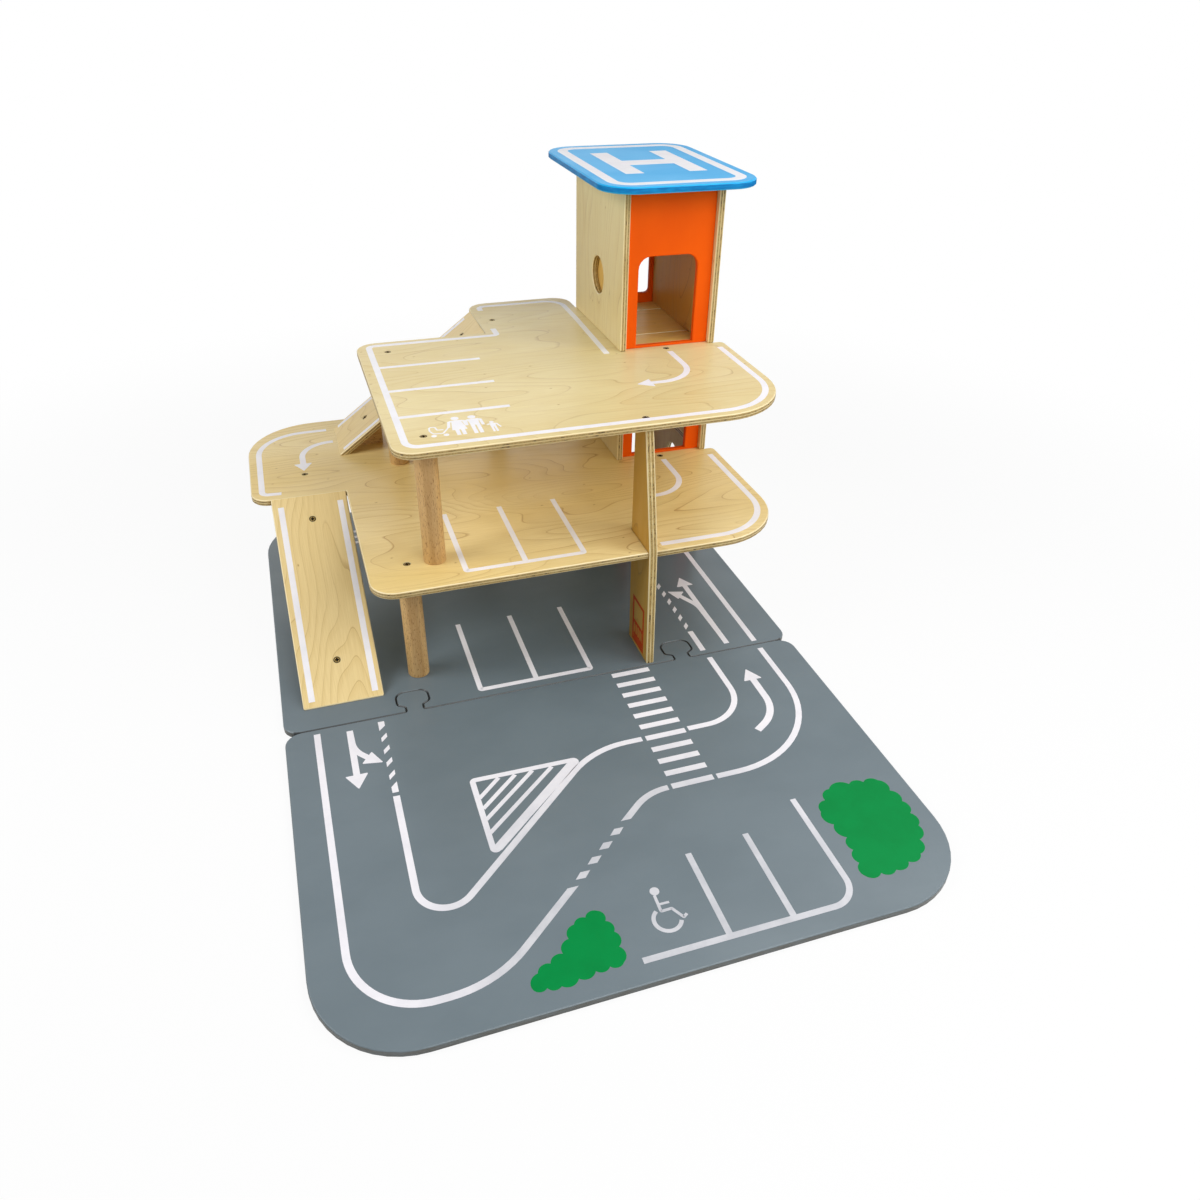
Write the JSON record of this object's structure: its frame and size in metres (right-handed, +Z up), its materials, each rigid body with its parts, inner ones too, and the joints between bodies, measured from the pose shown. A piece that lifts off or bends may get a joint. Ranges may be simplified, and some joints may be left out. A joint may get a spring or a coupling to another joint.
{
  "type": "toy parking garage with lift",
  "caption": "Wooden toy parking garage with parking decks, ramps, a tower with a sliding lift cabin, a helipad roof and a base in joined boards.",
  "frame": {"origin": "middle of the base's outline, on its underside, where it stands on the floor", "axes": "+X to the right, +Y from the base's front edge to its rear edge, along its length, and +Z up"},
  "size_m": [0.6315, 0.9, 0.514],
  "materials": {
    "ply": "clear matt lacquer on birch plywood",
    "beech": "oiled beech",
    "grey_paint": "satin grey paint",
    "orange_paint": "satin orange paint",
    "blue_paint": "satin blue paint",
    "white_print": "white screen print",
    "screw_metal": "yellow passivated"
  },
  "bodies": {
    "garage": {"rear_base_plate": "grey_paint", "lower_deck": "ply", "upper_deck": "ply", "lower_front_column": "beech", "landing_column": "beech", "lower_rear_column": "beech", "upper_front_column": "beech", "upper_left_column": "beech", "upper_rear_column": "beech", "front_fin": "ply", "ground_left_panel": "ply", "ground_right_panel": "ply", "ground_front_panel": "orange_paint", "ground_rear_panel": "orange_paint", "middle_left_panel": "ply", "middle_right_panel": "ply", "middle_front_panel": "orange_paint", "middle_rear_panel": "orange_paint", "top_left_panel": "ply", "top_right_panel": "ply", "top_front_panel": "orange_paint", "top_rear_panel": "orange_paint", "lower_cleat": "beech", "upper_cleat": "beech", "helipad_roof": "blue_paint", "lower_ramp": "ply", "lower_ramp_foot_block": "beech", "lower_ramp_head_block": "beech", "lower_ramp_foot_screw": "screw_metal", "lower_ramp_head_screw": "screw_metal", "upper_ramp": "ply", "upper_ramp_foot_block": "beech", "upper_ramp_head_block": "beech", "upper_ramp_foot_screw": "screw_metal", "upper_ramp_head_screw": "screw_metal", "lower_front_column_top_screw": "screw_metal", "lower_front_column_foot_screw": "screw_metal", "landing_column_top_screw": "screw_metal", "landing_column_foot_screw": "screw_metal", "lower_rear_column_top_screw": "screw_metal", "lower_rear_column_foot_screw": "screw_metal", "upper_front_column_top_screw": "screw_metal", "upper_front_column_foot_screw": "screw_metal", "upper_left_column_top_screw": "screw_metal", "upper_left_column_foot_screw": "screw_metal", "upper_rear_column_top_screw": "screw_metal", "upper_rear_column_foot_screw": "screw_metal", "fin_top_screw": "screw_metal", "fin_foot_screw": "screw_metal", "lower_cleat_screw": "screw_metal", "upper_cleat_screw": "screw_metal"},
    "lift_cabin": {"lift_floor": "ply", "lift_left_wall": "ply", "lift_right_wall": "ply", "lift_roof": "ply"},
    "front_base": {"front_base_plate": "grey_paint"}
  },
  "joints": [
    {"name": "lift_travel", "type": "slide", "parent": "garage", "child": "lift_cabin", "axis": [0, 0, 1], "range_m": [-0.297, 0]},
    {"name": "front_base_lift_off", "type": "slide", "parent": "garage", "child": "front_base", "axis": [0, 0, 1], "range_m": [0, 0.06]}
  ]
}
